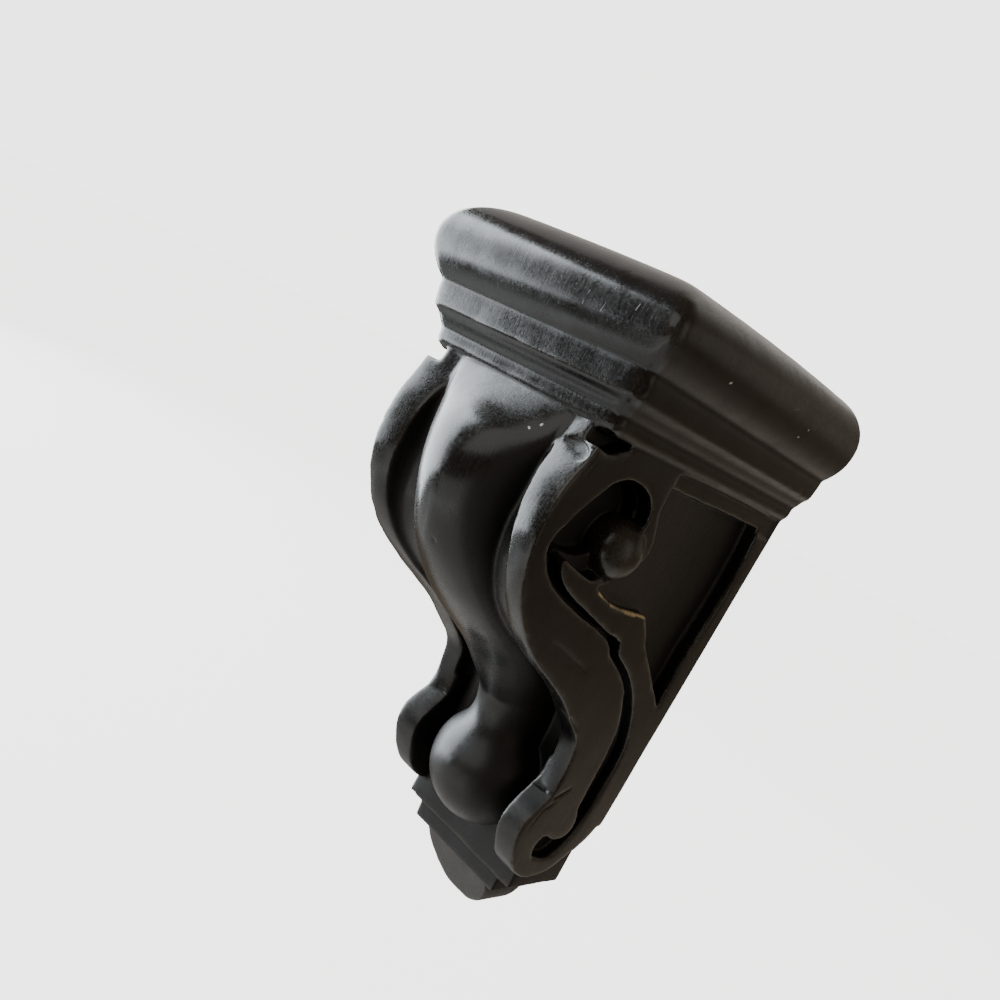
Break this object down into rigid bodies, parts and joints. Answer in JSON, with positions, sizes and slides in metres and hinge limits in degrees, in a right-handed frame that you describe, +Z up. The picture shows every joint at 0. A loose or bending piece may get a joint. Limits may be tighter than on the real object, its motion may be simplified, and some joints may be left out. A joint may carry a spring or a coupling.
{
  "type": "corbel bracket",
  "caption": "Carved wooden corbel: moulded cap with returns, scrolled S-shaped sides, a tongue that ends in a ball, and a stepped plinth, for fixing under a shelf, beam or mantel.",
  "frame": {"origin": "on the flat back face that bears on the wall, midway across it, level with the underside of the cap", "axes": "+Y points into the wall, so the carved front looks along -Y; +X runs across the bracket to the right as seen from the wall's room side; +Z is up towards the cap"},
  "size_m": [0.15, 0.1967, 0.3532],
  "materials": {
    "corbel_wood": "near-black stained and painted timber with a satin sheen, rubbed edges and small chips"
  },
  "bodies": {
    "root": {"corbel": "corbel_wood"}
  },
  "joints": []
}
